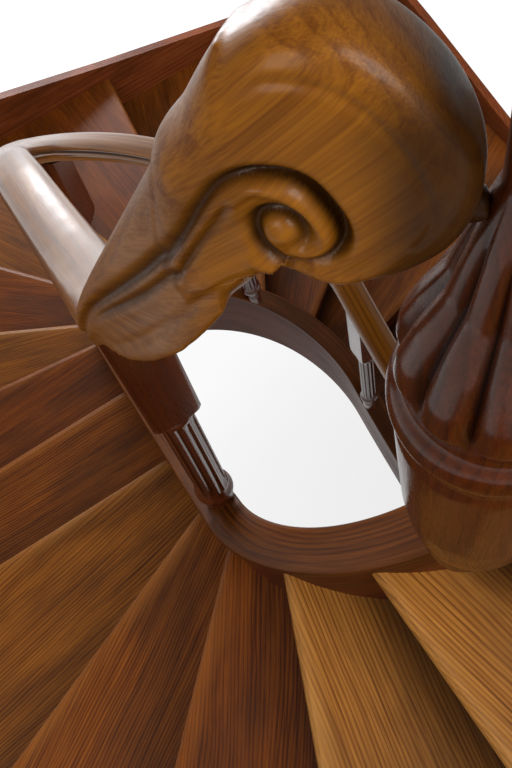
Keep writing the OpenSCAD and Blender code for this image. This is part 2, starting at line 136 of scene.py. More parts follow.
MARKS_S = [START_GAP - GOING] + [step_s(n) for n in range(1, LANDING_STEP + 1)] + [TURN_2]
MARKS_Z = [step_z(n) for n in range(LANDING_STEP + 1)] + [step_z(LANDING_STEP)]


def nosing_z(s, span=STRING_SPAN):
    """Height of the nosing line over the well string, eased over a stretch of length span."""
    return float(np.mean([np.interp(s - span / 2 + i * span / 6, MARKS_S, MARKS_Z) for i in range(7)]))


def rail_top(s):
    """Height of the handrail's top, without the scroll's rise."""
    return nosing_z(s, RAIL_SPAN) + RAIL_H


def cap_top(s):
    """Height of the capping's top."""
    return nosing_z(s) + STRING_RISE + SEAT + CAP_T


def places(a, b, step):
    """Even places from a to b, no more than a step apart."""
    n = math.ceil((b - a) / step)
    return [a + (b - a) * i / n for i in range(n + 1)]


def ramp01(x, low, high):
    """0 below low, 1 above high and an eased rise between them."""
    t = np.clip((x - low) / (high - low), 0, 1)
    return t * t * (3 - 2 * t)


def smooth_line(points, n=8, closed=False):
    """A smooth curve through the points, with n places from each to the next."""
    p = np.array(points, float)
    ends = (p[-1:], p[:2]) if closed else (2 * p[:1] - p[1:2], 2 * p[-1:] - p[-2:-1])
    q = np.vstack([ends[0], p, ends[1]])
    t = np.arange(n)[:, None] / n
    out = [0.5 * (2 * b + (c - a) * t + (2 * a - 5 * b + 4 * c - d) * t ** 2
                  + (3 * b - 3 * c + d - a) * t ** 3)
           for a, b, c, d in zip(q, q[1:], q[2:], q[3:])]
    return np.vstack(out if closed else out + [p[-1:]])


def eased(points, blur, step=2.5, longest=30):
    """A turned profile of (height, radius) with its corners eased, and few places where it is straight."""
    p = np.array(points, float)
    length = np.concatenate([[0], np.cumsum(np.hypot(*np.diff(p, axis=0).T))])
    at = np.linspace(0, length[-1], int(length[-1] / step) + 1)
    q = np.stack([np.interp(at, length, p[:, i]) for i in (0, 1)], 1)
    k = max(1, round(blur / step / 2))
    for _ in range(2):
        wide = np.vstack([np.repeat(q[:1], k, 0), q, np.repeat(q[-1:], k, 0)])
        q = np.mean([wide[i:i + len(q)] for i in range(2 * k + 1)], axis=0)
    q[0], q[-1] = p[0], p[-1]
    kept = [q[0]]
    for a, b, c in zip(q, q[1:], q[2:]):
        bend = abs((b - a)[0] * (c - b)[1] - (b - a)[1] * (c - b)[0])
        if bend > 0.004 * step * step or np.hypot(*(b - kept[-1])) > longest:
            kept.append(b)
    return [tuple(r) for r in kept + [q[-1]]]


def new_object(name, points, faces, smooth=True, **layers):
    """A mesh object from points in millimetres. Each layer keeps a value or a vector for every point."""
    mesh = bpy.data.meshes.new(name)
    mesh.from_pydata([[c / 1000 for c in p] for p in points], [], faces)
    mesh.update()
    mesh.polygons.foreach_set("use_smooth", [smooth] * len(mesh.polygons))
    obj = bpy.data.objects.new(name, mesh)
    bpy.context.scene.collection.objects.link(obj)
    for key, values in layers.items():
        keep(obj, key, values)
    return obj


def keep(obj, key, values):
    """Keeps a value or a vector for every point as an attribute that the materials read."""
    values = np.asarray(values, np.float32)
    vector = values.ndim == 2
    layer = obj.data.attributes.new(key, "FLOAT_VECTOR" if vector else "FLOAT", "POINT")
    layer.data.foreach_set("vector" if vector else "value", values.ravel())


def sharpen(obj, angle=38):
    """Keeps the edges sharp where the faces meet at more than an angle in degrees."""
    obj.data.set_sharp_from_angle(angle=math.radians(angle))
    return obj


def loft(name, rings, **layers):
    """A closed skin over rings of equal length, with flat ends."""
    m, n = len(rings), len(rings[0])
    faces = [(j * n + i, j * n + (i + 1) % n, (j + 1) * n + (i + 1) % n, (j + 1) * n + i)
             for j in range(m - 1) for i in range(n)]
    faces += [tuple(range(n - 1, -1, -1)), tuple((m - 1) * n + i for i in range(n))]
    return new_object(name, [p for r in rings for p in r], faces, **layers)


SWEEP_STEP = 12


def swept(name, a, b, section, height, dirt=None):
    """A section, a list of (out, up), carried along the well string between a and b at a height."""
    rings, grain = [], []
    for s in places(a, b, SWEEP_STEP):
        z = height(s)
        rings.append([(*well_pt(s, p[0]), z + p[1]) for p in section])
        grain += [(s / 1000, p[0] / 1000, p[1] / 1000) for p in section]
    return sharpen(loft(name, rings, grain=grain, dirt=(dirt or [0] * len(section)) * len(rings)))


def rounded(section, r, n=4):
    """The section's corners rounded by r."""
    out = []
    for i, p in enumerate(section):
        a, p, b = Vector(section[i - 1]), Vector(p), Vector(section[(i + 1) % len(section)])
        k = min(r, (a - p).length / 2.2, (b - p).length / 2.2)
        pa, pb = p + (a - p).normalized() * k, p + (b - p).normalized() * k
        out += [tuple((1 - t) ** 2 * pa + 2 * t * (1 - t) * p + t * t * pb)
                for t in (j / n for j in range(n + 1))]
    return out


# Half of the handrail's section from its crown down: share of half width, share of depth, how much darker it
# is in its groove
RAIL_HALF = [(0.18, 0.998, 0), (0.4, 0.985, 0), (0.6, 0.95, 0), (0.78, 0.885, 0), (0.9, 0.8, 0),
             (0.97, 0.7, 0), (0.99, 0.6, 0), (0.96, 0.52, 0.2), (0.9, 0.465, 0.8), (0.86, 0.43, 1),
             (0.855, 0.4, 1), (0.88, 0.375, 0.6), (0.92, 0.34, 0.1), (0.94, 0.29, 0), (0.92, 0.24, 0),
             (0.87, 0.205, 0.3), (0.855, 0.17, 0), (0.855, 0, 0)]
RAIL_SECTION = ([(RAIL_C + x * RAIL_W / 2, (y - 1) * RAIL_D) for x, y, d in RAIL_HALF]
                + [(RAIL_C - x * RAIL_W / 2, (y - 1) * RAIL_D) for x, y, d in reversed(RAIL_HALF)])
RAIL_GROOVE_DARKENING = [d for x, y, d in RAIL_HALF] + [d for x, y, d in reversed(RAIL_HALF)]
CAP_SECTION = rounded([(CAP_OUT, 0), (CAP_OUT, CAP_T), (-STRING_T - CAP_OUT, CAP_T),
                       (-STRING_T - CAP_OUT, 0)], 8)


class Nodes:
    """Short calls for building a material's node tree."""

    def __init__(self, name):
        self.material = bpy.data.materials.new(name)
        self.material.use_nodes = True
        self.tree = self.material.node_tree
        self.bsdf = self.tree.nodes["Principled BSDF"]

    def node(self, kind, inputs=None, **settings):
        made = self.tree.nodes.new("ShaderNode" + kind)
        for key, value in settings.items():
            setattr(made, key, value)
        for key, value in (inputs or {}).items():
            self.put(value, made.inputs[key])
        return made

    def put(self, value, socket):
        if isinstance(value, bpy.types.NodeSocket):
            self.tree.links.new(value, socket)
        else:
            socket.default_value = value

    def math(self, op, a, b=0.0, clamp=False):
        return self.node("Math", {0: a, 1: b}, operation=op, use_clamp=clamp).outputs[0]

    def add(self, *values):
        total = values[0]
        for v in values[1:]:
            total = self.math("ADD", total, v)
        return total

    def times(self, a, b):
        return self.math("MULTIPLY", a, b)

    def swing(self, value, amount):
        """The value's distance from a half, times amount."""
        return self.times(self.math("SUBTRACT", value, 0.5), amount)

    def mix(self, factor, a, b):
        """Colour a, and colour b where the factor is 1."""
        return self.node("Mix", {0: factor, 6: a, 7: b}, data_type="RGBA").outputs[2]

    def ramp(self, value, *stops):
        """A colour ramp through stops of (place, colour or grey)."""
        made = self.node("ValToRGB", {0: value})
        elements = made.color_ramp.elements
        while len(elements) < len(stops):
            elements.new(0.5)
        for element, (place, colour) in zip(elements, stops):
            element.position = place
            element.color = (*colour, 1) if isinstance(colour, tuple) else (colour, colour, colour, 1)
        return made.outputs[0]

    def noise(self, vector, scale, shift=0.0, detail=3.0, rough=0.55):
        """Noise with a scale for each of the three directions. Each material shifts it by its own amount."""
        moved = self.node("Mapping", {"Vector": vector, "Scale": scale,
                                      "Location": (shift, shift * 2.3, shift * 1.7)})
        return self.node("TexNoise", {"Vector": moved.outputs[0], "Scale": 1.0, "Detail": detail,
                                      "Roughness": rough}).outputs[0]


def srgb(r, g, b):
    """The linear colour of one written as on a screen, from 0 to 255."""
    return tuple((c / 255) / 12.92 if c <= 10 else ((c / 255 + 0.055) / 1.055) ** 2.4 for c in (r, g, b))


def wood(name, light, mid, dark, shift, ring=150, pith=0.1, lines=0.32, rough=0.4, coat=0.0, stained=0.6,
         worn=None, shine=0.14):
    """Sawn wood whose pores run along the grain attribute's first direction.

    light, mid and dark: its colours; shift: what sets its pattern apart; ring: growth rings to the metre;
    pith: how far below the face its heart lies, in metres; lines: how strongly the rings show; stained: how
    strongly patches darken it; worn: a tread's colour at its lip. The edge attribute says where a tread is
    worn at its lip, and where dirt and painted shade darken it before the next riser. Elsewhere the darkening
    attribute says where it is darker: in grooves and hollows, and with painted shade on the scroll's side.
    """
    n = Nodes(name)
    light, mid, dark = srgb(*light), srgb(*mid), srgb(*dark)
    grain = n.node("Attribute", attribute_name="grain").outputs["Vector"]
    xyz = n.node("SeparateXYZ", {0: grain}).outputs
    slow = n.noise(grain, (1.3, 4.5, 4.5), shift, 2.0)
    drift = n.noise(grain, (7, 60, 60), shift, 3.0)
    across = n.add(xyz[1], n.swing(slow, 0.08))
    depth = n.add(xyz[2], pith)
    radius = n.math("SQRT", n.add(n.times(across, across), n.times(depth, depth)))
    radius = n.add(radius, n.swing(drift, 0.005))
    late = n.ramp(n.math("FRACT", n.times(radius, ring)),
                  (0.0, 0.45), (0.12, 0.0), (0.5, 0.12), (0.84, 0.85), (1.0, 1.0))
    fibres = n.noise(grain, (10, 520, 520), shift)
    streaks = n.noise(grain, (2.2, 120, 120), shift, 4.0, 0.65)
    patches = n.noise(grain, (2.4, 8, 8), shift * 1.9, 4.0, 0.6)
    late = n.times(late, n.ramp(streaks, (0.3, 0.35), (0.7, 1.0)))
    tone = n.math("ADD", n.times(late, lines), n.add(0.2, n.swing(fibres, 0.7), n.swing(streaks, 0.6)), True)
    colour = n.ramp(tone, (0.0, light), (0.42, mid), (1.0, dark))
    rubbed = n.noise(grain, (3.5, 14, 14), shift * 2.7, 4.0, 0.65)
    colour = n.mix(n.times(n.ramp(rubbed, (0.5, 0.0), (0.68, 1.0)), 0.6 * stained), colour, (*light, 1))
    colour = n.mix(n.times(n.ramp(patches, (0.42, 0.0), (0.68, 1.0)), stained), colour, (*dark, 1))
    if worn:
        edge = n.node("Attribute", attribute_name="edge").outputs["Vector"]
        behind, before = n.node("SeparateXYZ", {0: edge}).outputs[:2]
        ragged = n.add(behind, n.swing(streaks, 0.03))
        lip = n.times(n.ramp(ragged, (0.008, 1.0), (0.04, 0.0)), n.ramp(patches, (0.35, 0.1), (0.65, 1.0)))
        colour = n.mix(n.times(lip, 0.5), colour, (*srgb(*worn), 1))
        # Dirt and painted shade under the next nosing darken the tread towards the riser
        back = n.ramp(n.add(before, n.swing(patches, 0.03)), (0.0, 1.0), (0.02, 0.75), (0.06, 0.0))
        back = n.times(back, 0.85)
        colour = n.mix(back, colour, (*[c * 0.3 for c in dark], 1))
    else:
        # Darker in grooves and hollows, and with painted shade on the scroll's side next to the newel
        dirt = n.node("Attribute", attribute_name="dirt").outputs["Fac"]
        colour = n.mix(n.math("MULTIPLY", dirt, 0.85, True), colour, (*[c * 0.35 for c in dark], 1))
    n.put(colour, n.bsdf.inputs["Base Color"])
    n.put(n.math("ADD", n.add(rough, n.swing(patches, 0.3)), n.swing(fibres, 0.25), True),
          n.bsdf.inputs["Roughness"])
    n.bsdf.inputs["Specular IOR Level"].default_value = shine
    n.bsdf.inputs["Coat Weight"].default_value = coat
    n.bsdf.inputs["Coat Roughness"].default_value = 0.16
    height = n.add(n.times(fibres, 0.7), n.times(late, -0.5))
    n.put(n.node("Bump", {"Height": height, "Strength": 0.3, "Distance": 0.0008}).outputs[0],
          n.bsdf.inputs["Normal"])
    return n.material


# Three dark treads' woods, and a golden one whose lighter colours are painted light and sheen, as (light,
# mid, dark, worn, ring, pith)
TREAD_WOODS = [wood(f"tread_wood_{i}", light, mid, dark, i * 1.37, ring=ring, pith=pith, lines=0.45,
                    worn=worn)
               for i, (light, mid, dark, worn, ring, pith) in enumerate([
                   ((124, 68, 18), (80, 36, 5), (30, 11, 2), (150, 92, 38), 150, 0.09),
                   ((132, 78, 22), (86, 44, 8), (34, 14, 3), (158, 104, 46), 130, 0.14),
                   ((116, 60, 14), (72, 30, 4), (26, 9, 2), (146, 86, 34), 165, 0.07),
                   ((158, 106, 46), (112, 66, 20), (50, 23, 6), (190, 138, 74), 140, 0.11)])]
RISER_WOOD = wood("riser_wood", (84, 36, 12), (60, 22, 6), (26, 9, 2), 3.1, rough=0.5)
STRING_WOOD = wood("string_wood", (96, 44, 14), (70, 28, 8), (30, 10, 2), 5.2, ring=110)
CAP_WOOD = wood("cap_wood", (112, 60, 14), (76, 36, 6), (32, 13, 2), 7.7, ring=170, pith=0.02, lines=0.4)
RAIL_WOOD = wood("rail_wood", (134, 82, 16), (96, 52, 6), (46, 21, 3), 9.1, ring=90, pith=0.05, lines=0.25,
                 rough=0.34, coat=0.6, stained=0.4, shine=0.16)
SCROLL_WOOD = wood("scroll_wood", (130, 80, 14), (98, 54, 5), (46, 21, 3), 9.1, ring=90, pith=0.05,
                   lines=0.25, rough=0.42, coat=0.08, stained=0.4, shine=0.1)
NEWEL_WOOD = wood("newel_wood", (80, 34, 8), (54, 20, 3), (22, 7, 1), 11.4, ring=70, lines=0.25,
                  rough=0.28, coat=0.3, stained=0.4, shine=0.16)
BALUSTER_WOOD = wood("baluster_wood", (92, 42, 16), (66, 26, 8), (28, 9, 3), 13.3, ring=90, lines=0.25,
                     rough=0.24, coat=0.5, stained=0.4, shine=0.25)
WALL_WOOD = wood("wall_string_wood", (128, 66, 32), (96, 44, 18), (46, 18, 6), 15.8, ring=120)
JOIST_WOOD = wood("joist_wood", (130, 84, 44), (100, 58, 28), (58, 30, 14), 17.2, rough=0.6)


def paint(obj, material):
    obj.data.materials.clear()
    obj.data.materials.append(material)
    return obj


def stand_for(obj, node):
    """The object rides on the one body and is shown in place of a CAD node."""
    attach(obj, "root")
    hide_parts(node)


def plan_place(co, s, angle):
    """Places along and behind the line at an angle in degrees through the well's point at s, in metres."""
    a = math.radians(angle)
    rel = co[:, :2] - np.array(well_pt(s)) / 1000
    return rel @ np.array([math.cos(a), math.sin(a)]), rel @ np.array([-math.sin(a), math.cos(a)])


# The treads with straight sides, those of the second wood, and the first of the golden ones, which are
# lightened with painted light and sheen
STRAIGHT_TREADS, SECOND_WOOD, FIRST_GOLDEN = (1, 2, 3, ORIGIN_STEP, LANDING_STEP), (8, 10, 13), 16
# A distance in metres past any tread, for the landing, which has no riser behind it
NO_RISER = 9


def tread_wood(n):
    return TREAD_WOODS[3 if n >= FIRST_GOLDEN else 1 if n in SECOND_WOOD else (n % 2) * 2]


def dress_tread(node, n):
    """Grain along the tread's middle, and how far each point lies from the nosing and the next riser."""
    obj = paint(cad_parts[node], tread_wood(n))
    co = np.array([v.co for v in obj.data.vertices])
    winds = n not in STRAIGHT_TREADS
    along, back = plan_place(co, step_s(n), step_dir(n) + (WINDER_TURN / 2 if winds else 0))
    keep(obj, "grain", np.stack([along, back + 0.07 * n, co[:, 2] - step_z(n) / 1000], 1))
    behind = plan_place(co, step_s(n), step_dir(n))[1]
    if n == LANDING_STEP:
        before = NO_RISER - behind
    else:
        before = NOSING / 1000 - plan_place(co, step_s(n + 1), step_dir(n + 1))[1]
    keep(obj, "edge", np.stack([behind, before, 0 * behind], 1))
    obj.data.polygons.foreach_set("use_smooth", [True] * len(obj.data.polygons))
    sharpen(obj, 25)


def dress_board(node, material, angle):
    """Grain along a board that stands upright, at an angle in plan."""
    obj = paint(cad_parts[node], material)
    co = np.array([v.co for v in obj.data.vertices])
    along, back = plan_place(co, 0, angle)
    keep(obj, "grain", np.stack([along, co[:, 2], back], 1))


for n in range(1, LANDING_STEP):
    dress_tread(f"tread_{n:02d}", n)
dress_tread("landing_deck", LANDING_STEP)
for node in ("risers_lower", "risers_middle", "risers_upper"):
    dress_board(node, RISER_WOOD, 180)
dress_board("landing_joists", JOIST_WOOD, 90)
for node, angle in (("right", 90), ("far", 180), ("left", 90), ("near", 0)):
    dress_board(f"wall_string_{node}", WALL_WOOD, angle)

# The well string and its capping, in the source's runs
NEWEL_GAP = 0.9 * BULB_R + 4
FOOT_S = START_GAP - 65
TOP_S = step_s(18) - 20
RING_MARKS = [s for a, b in ((0, SIDE_1), (SIDE_1, TURN_1), (TURN_1, SIDE_2), (SIDE_2, TURN_2))
              for s in places(a, b, RING_STEP)]
SPLIT = min(s for s in RING_MARKS if s > step_s(LANDING_STEP) + RING_STEP)
RUNS = {"foot": (FOOT_S + NEWEL_GAP, SIDE_1), "turn": (SIDE_1, TURN_1), "side": (TURN_1, SIDE_2),
        "wreath": (SIDE_2, SPLIT), "landing": (SPLIT, TURN_2)}
for part, (a, b) in RUNS.items():
    rings, grain = [], []
    for s in places(a, b, SWEEP_STEP):
        z = nosing_z(s)
        low = max(FLOOR_Z, z - STRING_DROP)
        section = [(0, low), (0, z + STRING_RISE), (-STRING_T, z + STRING_RISE), (-STRING_T, low)]
        rings.append([(*well_pt(s, p[0]), p[1]) for p in section])
        grain += [(s / 1000, (p[1] - z) / 1000, p[0] / 1000) for p in section]
    string = sharpen(loft(f"string_{part}", rings, grain=grain))
    stand_for(paint(string, STRING_WOOD), f"well_string_{part}")
    cap = swept(f"capping_{part}", a, b, CAP_SECTION, lambda s: nosing_z(s) + STRING_RISE + SEAT)
    stand_for(paint(cap, CAP_WOOD), f"string_cap_{part}")

RAIL_RUNS = {"foot": (FOOT_S - RAIL_W, SIDE_1), "turn": (SIDE_1, TURN_1), "side": (TURN_1, SIDE_2)}
for part, (a, b) in RAIL_RUNS.items():
    rail = swept(f"rail_{part}", a, b, RAIL_SECTION, rail_top, RAIL_GROOVE_DARKENING)
    stand_for(paint(rail, RAIL_WOOD), f"handrail_{part}")

# The scroll's frame: its eye, and the directions ahead of it, up its leaning face and out of it
EYE_DIR, LEAN, FACE_OUT, EYE_RISE = math.radians(180 + EYE_TURN), math.radians(20), 25, 0.36
EYE_S = SIDE_2 + WELL_R * (EYE_DIR - math.pi)
EYE = Vector((*well_pt(EYE_S, FACE_OUT), rail_top(EYE_S) + EYE_RISE * SCROLL_RISE))
OUT = Vector((math.cos(EYE_DIR), math.sin(EYE_DIR), 0))
AHEAD = Vector((-math.sin(EYE_DIR), math.cos(EYE_DIR), 0))
UP = Vector((0, 0, 1))
FACE_N = OUT * math.cos(LEAN) + UP * math.sin(LEAN)
FACE_H = UP * math.cos(LEAN) - OUT * math.sin(LEAN)
WREATH_RUN = (EYE_S - SIDE_2) * WREATH_TURN / EYE_TURN
# Below COVE under the crown the wreath's section stretches as it deepens. It leans about LEAN_DROP under it.
COVE, LEAN_DROP = 48, 42
# The rail's groove, GROOVE_TOP under the crown, closes over these shares of the run to this half width
GROOVE_TOP, GROOVE_ENDS, CLOSED_SIDE = 0.4 * RAIL_D, (0.25, 0.7), 0.95 * RAIL_W / 2
# The wreath at shares of its run: its crown's height over the rail's line, how far it stands out, its depth
CROWN = smooth_line([(-0.2, 0), (0, 0), (0.2, 44), (0.4, 83), (0.6, 116), (0.8, 148), (1, 179),
                     (1.2, 214)], 8)
SWAY = smooth_line([(-0.2, 0), (0, 0), (0.5, 2), (0.85, 7), (0.97, 4), (1.07, -7), (1.2, -25)], 8)
DEPTH = smooth_line([(-0.2, RAIL_D), (0, RAIL_D), (0.25, 103), (0.5, 126), (0.75, 146), (1, 158),
                     (1.2, 160)], 8)


def at_share(curve, k):
    return float(np.interp(k, *curve.T))


def wreath_crown(k):
    """Height of the wreath's crown at share k of its run."""
    return rail_top(SIDE_2 + k * WREATH_RUN) + at_share(CROWN, k)


def wreath_ring(k):
    """The rail's section at share k of the wreath's run: it banks, leans and deepens, its groove closes."""
    s = SIDE_2 + k * WREATH_RUN
    depth, crown = at_share(DEPTH, k), wreath_crown(k)
    bank = math.tan(LEAN) * min(max(k, 0), 1)
    lean = math.tan(LEAN * float(ramp01(k, 0.1, 1)))
    closed = float(ramp01(k, *GROOVE_ENDS))
    ring = []
    for x, y in RAIL_SECTION:
        side = RAIL_C + math.copysign(CLOSED_SIDE, x - RAIL_C)
        if y < -GROOVE_TOP:
            x += closed * (side - x)
        if y < -COVE:
            y = -COVE + (y + COVE) * (depth - COVE) / (RAIL_D - COVE)
        z = crown + y + (x - RAIL_C) * bank * (1 + y / depth)
        ring.append((*well_pt(s, x + at_share(SWAY, k) - (z - crown + LEAN_DROP) * lean), z))
    return ring


# The scroll's outline on its face as (ahead, up) from the eye: from its left end over the top to the lip
# and the notch
OUTLINE = smooth_line([(-90, 10), (-68, 45), (-43, 84), (-13, 110), (20, 115), (53, 99), (82, 71), (99, 37),
                       (101, 8), (89, -18), (62, -38), (32, -48), (14, -45), (2, -37), (-8, -34), (-21, -42),
                       (-41, -65), (-76, -88), (-96, -70)], 8, True)
# From FALL_START ahead of the eye back to its left end, the face falls away by FALL times the square of that
FALL_START, FALL = -20, 0.0016


def drum_ring(w, inset):
    """The scroll's outline moved in by inset, at depth w behind its face. Its left end follows the well."""
    d = np.roll(OUTLINE, -1, 0) - np.roll(OUTLINE, 1, 0)
    d /= np.hypot(d[:, :1], d[:, 1:])
    ring = OUTLINE + np.stack([d[:, 1], -d[:, 0]], 1) * inset
    return [tuple(EYE + AHEAD * t + FACE_H * h + FACE_N * w
                  - OUT * (min(t, 0) ** 2 / (2 * (WELL_R + FACE_OUT)))
                  - FACE_N * (FALL * min(0, t - FALL_START) ** 2 if w > -RAIL_W / 2 else 0)) for t, h in ring]


def melted(obj, voxel):
    """The object's parts joined under one closed skin. It gives the places in millimetres, and the edges."""
    modifier = obj.modifiers.new("skin", "REMESH")
    modifier.mode, modifier.voxel_size = "VOXEL", voxel
    mesh = bpy.data.meshes.new_from_object(obj.evaluated_get(bpy.context.evaluated_depsgraph_get()))
    obj.modifiers.clear()
    obj.data = mesh
    co = np.empty(len(mesh.vertices) * 3, np.float32)
    mesh.vertices.foreach_get("co", co)
    edges = np.empty(len(mesh.edges) * 2, np.int32)
    mesh.edges.foreach_get("vertices", edges)
    return co.reshape(-1, 3).astype(float) * 1000, edges.reshape(-1, 2)


def relaxed(co, edges, share, rounds):
    """Places drawn towards the mean of their neighbours, by a share for each."""
    count = np.bincount(edges.ravel(), minlength=len(co))[:, None]
    for _ in range(rounds):
        total = np.stack([np.bincount(edges[:, 0], co[edges[:, 1], i], len(co))
                          + np.bincount(edges[:, 1], co[edges[:, 0], i], len(co)) for i in range(3)], 1)
        co = co + share[:, None] * (total / count - co)
    return co


def face_place(co):
    """How far each place lies ahead of the eye, round the well, and up the scroll's lean."""
    turn = np.arctan2(co[:, 1] - NEAR_Y, co[:, 0] - WELL_CX) % (2 * math.pi) - EYE_DIR
    return turn * (WELL_R + FACE_OUT), (co[:, 2] - EYE.z) / math.cos(LEAN)


def wreath_line(*places):
    """A line on the wreath's side through (share, drop below the crown, depth), as (ahead, up, depth)."""
    return [((SIDE_2 + k * WREATH_RUN - EYE_S) * (WELL_R + FACE_OUT) / WELL_R,
             (wreath_crown(k) - drop - EYE.z) / math.cos(LEAN), depth) for k, drop, depth in places]


# What is carved: lines of (ahead, up, depth) and how wide each is. A depth below 0 stands out.
CARVED = [
    (4.6, wreath_line((0.15, 44, 0), (0.3, 42, 2), (0.45, 43, 3.5), (0.66, 51, 4.5), (0.82, 58, 5),
                      (0.92, 60, 5), (0.99, 60, 5)) + [
        (-56, 6, 5), (-45, 22, 5.5), (-32, 32, 6), (-18, 36, 7.5), (0, 35, 9), (12, 29, 10), (22, 17, 11),
        (29, 4, 11), (30, -8, 9), (23, -19, 6), (10, -25, 4), (-3, -26, 4), (-12, -20, 5.5), (-19, -11, 6.5),
        (-21, 0, 7), (-18, 7, 7), (-12, 11, 7), (-4, 12, 6.5), (3, 9, 6), (8, 3, 5), (9, -4, 4),
        (5, -11, 2)]),
    (3.6, wreath_line((0.35, 56, 0), (0.56, 64, 3.5), (0.75, 74, 4), (0.9, 80, 4), (0.97, 81, 4),
                      (1.03, 81, 3.5)) + [
        (-46, -4, 3), (-38, 9, 2), (-32, 16, 0)]),
    (13, wreath_line((0.5, 88, 0), (0.72, 96, 3), (0.89, 98, 5), (0.98, 100, 5.5)) + [
        (-53, -36, 5.5), (-42, -20, 5), (-34, -8, 3)]),
    (4.5, wreath_line((0.5, 108, 0), (0.66, 116, 2.5), (0.77, 118, 3.5), (0.9, 120, 3.5),
                      (0.99, 125, 3.5)) + [
        (-49, -60, 3), (-38, -48, 2.5), (-22, -38, 1)]),
    (5, [(-23, -29, -2), (-8, -35, -3.5), (6, -37, -3.5), (28, -38, -3.5), (48, -29, -3), (64, -12, -1)]),
    (4.4, [(-37, 6, -1), (-31, 18, -2.5), (-22, 26, -3.5), (-12, 26, -3.5), (0, 22, -3.5), (10, 13, -3.5),
           (17, 3, -3.5), (20, -6, -3), (16, -14, -2.5), (6, -18, -2)]),
    (6.5, [(-4, -5, -3), (-2, -5, -3)]),
    (3, [(-30, 78, 0), (-10, 90, 1.4), (18, 90, 1.6), (44, 77, 1.8), (65, 54, 2), (77, 28, 2), (80, 8, 2),
         (71, -10, 1)]),
]
# The first lines are grooves, which are darkened and cut deeper
GROOVES, GROOVE_DEPTH = 2, 1.4


def evenly(line, step=2):
    """Places a step apart along a line of (ahead, up, depth)."""
    length = np.concatenate([[0], np.cumsum(np.hypot(*np.diff(line[:, :2], axis=0).T))])
    at = np.arange(0, length[-1], step)
    return np.stack([np.interp(at, length, line[:, i]) for i in range(3)], 1)


def carving(t, h):
    """Depth of what is carved at each place of the face, and the depth of its grooves alone."""
    depth, groove = np.zeros(len(t)), np.zeros(len(t))
    for i, (width, points) in enumerate(CARVED):
        near = np.full(len(t), np.inf)
        deep = np.zeros(len(t))
        for x, y, d in evenly(smooth_line(points, 12)):
            far = (t - x) ** 2 + (h - y) ** 2
            closer = far < near
            near[closer], deep[closer] = far[closer], d
        cut = deep * np.exp(-near / width ** 2) * (GROOVE_DEPTH if i < GROOVES else 1)
        depth += cut
        if i < GROOVES:
            groove = np.maximum(groove, cut)
    return depth, groove


def newel_form(height):
    """A newel's profile of (height, radius), from the shares in the source."""
    shares = [(0.7, 0), (0.8, 0.02), (0.89, 0.07), (0.97, 0.16), (1.01, 0.29), (1.04, 0.41), (1, 0.435),
              (1.06, 0.455), (1.11, 0.48), (1.06, 0.505), (0.95, 0.52), (0.95, 0.54), (1, 0.56), (0.95, 0.6),
              (0.8, 0.65), (0.57, 0.71), (0.4, 0.8)]
    return [(u * height, r * BULB_R) for r, u in shares] + [(0.86 * height, NECK_R), (height, NECK_R)]


NEWEL_OFF = -10
NEWEL_PT = Vector((*well_pt(TOP_S, NEWEL_OFF), 0))
TOP_BASE, TOP_H = cap_top(TOP_S), rail_top(TOP_S) - cap_top(TOP_S)
PEG_R, PEG_AHEAD, PEG_DROP = 13, 40, 42


def scroll_peg():
    """The peg from the scroll's front to the newel's neck."""
    start = Vector((*well_pt(EYE_S, FACE_OUT - RAIL_W / 2), 0)) + AHEAD * PEG_AHEAD
    run = NEWEL_PT - start
    side = Vector((-run.y, run.x, 0)).normalized()
    z = EYE.z - PEG_DROP
    neck = np.interp(z - TOP_BASE, *zip(*newel_form(TOP_H)))
    end = start + run.normalized() * (run.length - neck + 1)
    return [[(*(p + side * (PEG_R * math.cos(a)))[:2], z + PEG_R * math.sin(a))
             for a in np.linspace(0, 2 * math.pi, 24, False)] for p in (start, end)]


def joined(name, lofts):
    """One object of several lofts."""
    points, faces = [], []
    for rings in lofts:
        o = loft(name, rings)
        faces += [tuple(len(points) + i for i in p.vertices) for p in o.data.polygons]
        points += [tuple(v.co * 1000) for v in o.data.vertices]
        bpy.data.objects.remove(o)
    return new_object(name, points, faces)


# The scroll's rings from its face back, as (depth, inset)
DRUM = [(0, 36), (-1, 24), (-4, 13), (-9, 5), (-17, 0), (-30, -4), (-RAIL_W / 2, -5), (-66, -4), (-79, 0),
        (-87, 5), (-92, 13), (-95, 24), (-96, 36)]
# The size of the skin's squares in metres, and how many rounds smooth it
VOXEL, ROUNDS = ((0.002, 34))
# How far ahead of the eye the wreath leaves the straight rail, is fully smoothed and is fully carved
WREATH_START, SMOOTH_FROM, CARVED_FROM = -365, -250, -300
# The scroll's grain climbs along its face, and painted shade darkens its side next to the newel
GRAIN_AHEAD, GRAIN_UP = 0.76, 0.65
PAINTED_SHADE_AHEAD, PAINTED_SHADE_UP = (25, 75), (55, 110)


def shaped(obj, co):
    obj.data.vertices.foreach_set("co", (co / 1000).ravel())
    obj.data.update()


wreath = joined("rail_wreath", [[wreath_ring(k) for k in np.arange(-0.01, 1.08, 0.03)],
                                [drum_ring(w, inset) for w, inset in DRUM], scroll_peg()])
co, edges = melted(wreath, VOXEL)
t, h = face_place(co)
co = relaxed(co, edges, np.full(len(co), 0.5), 3)
co = relaxed(co, edges, 0.5 * ramp01(t, WREATH_START, SMOOTH_FROM), ROUNDS)
shaped(wreath, co)
normals = np.array([v.normal for v in wreath.data.vertices])
facing = normals @ np.array(FACE_N)
t, h = face_place(co)
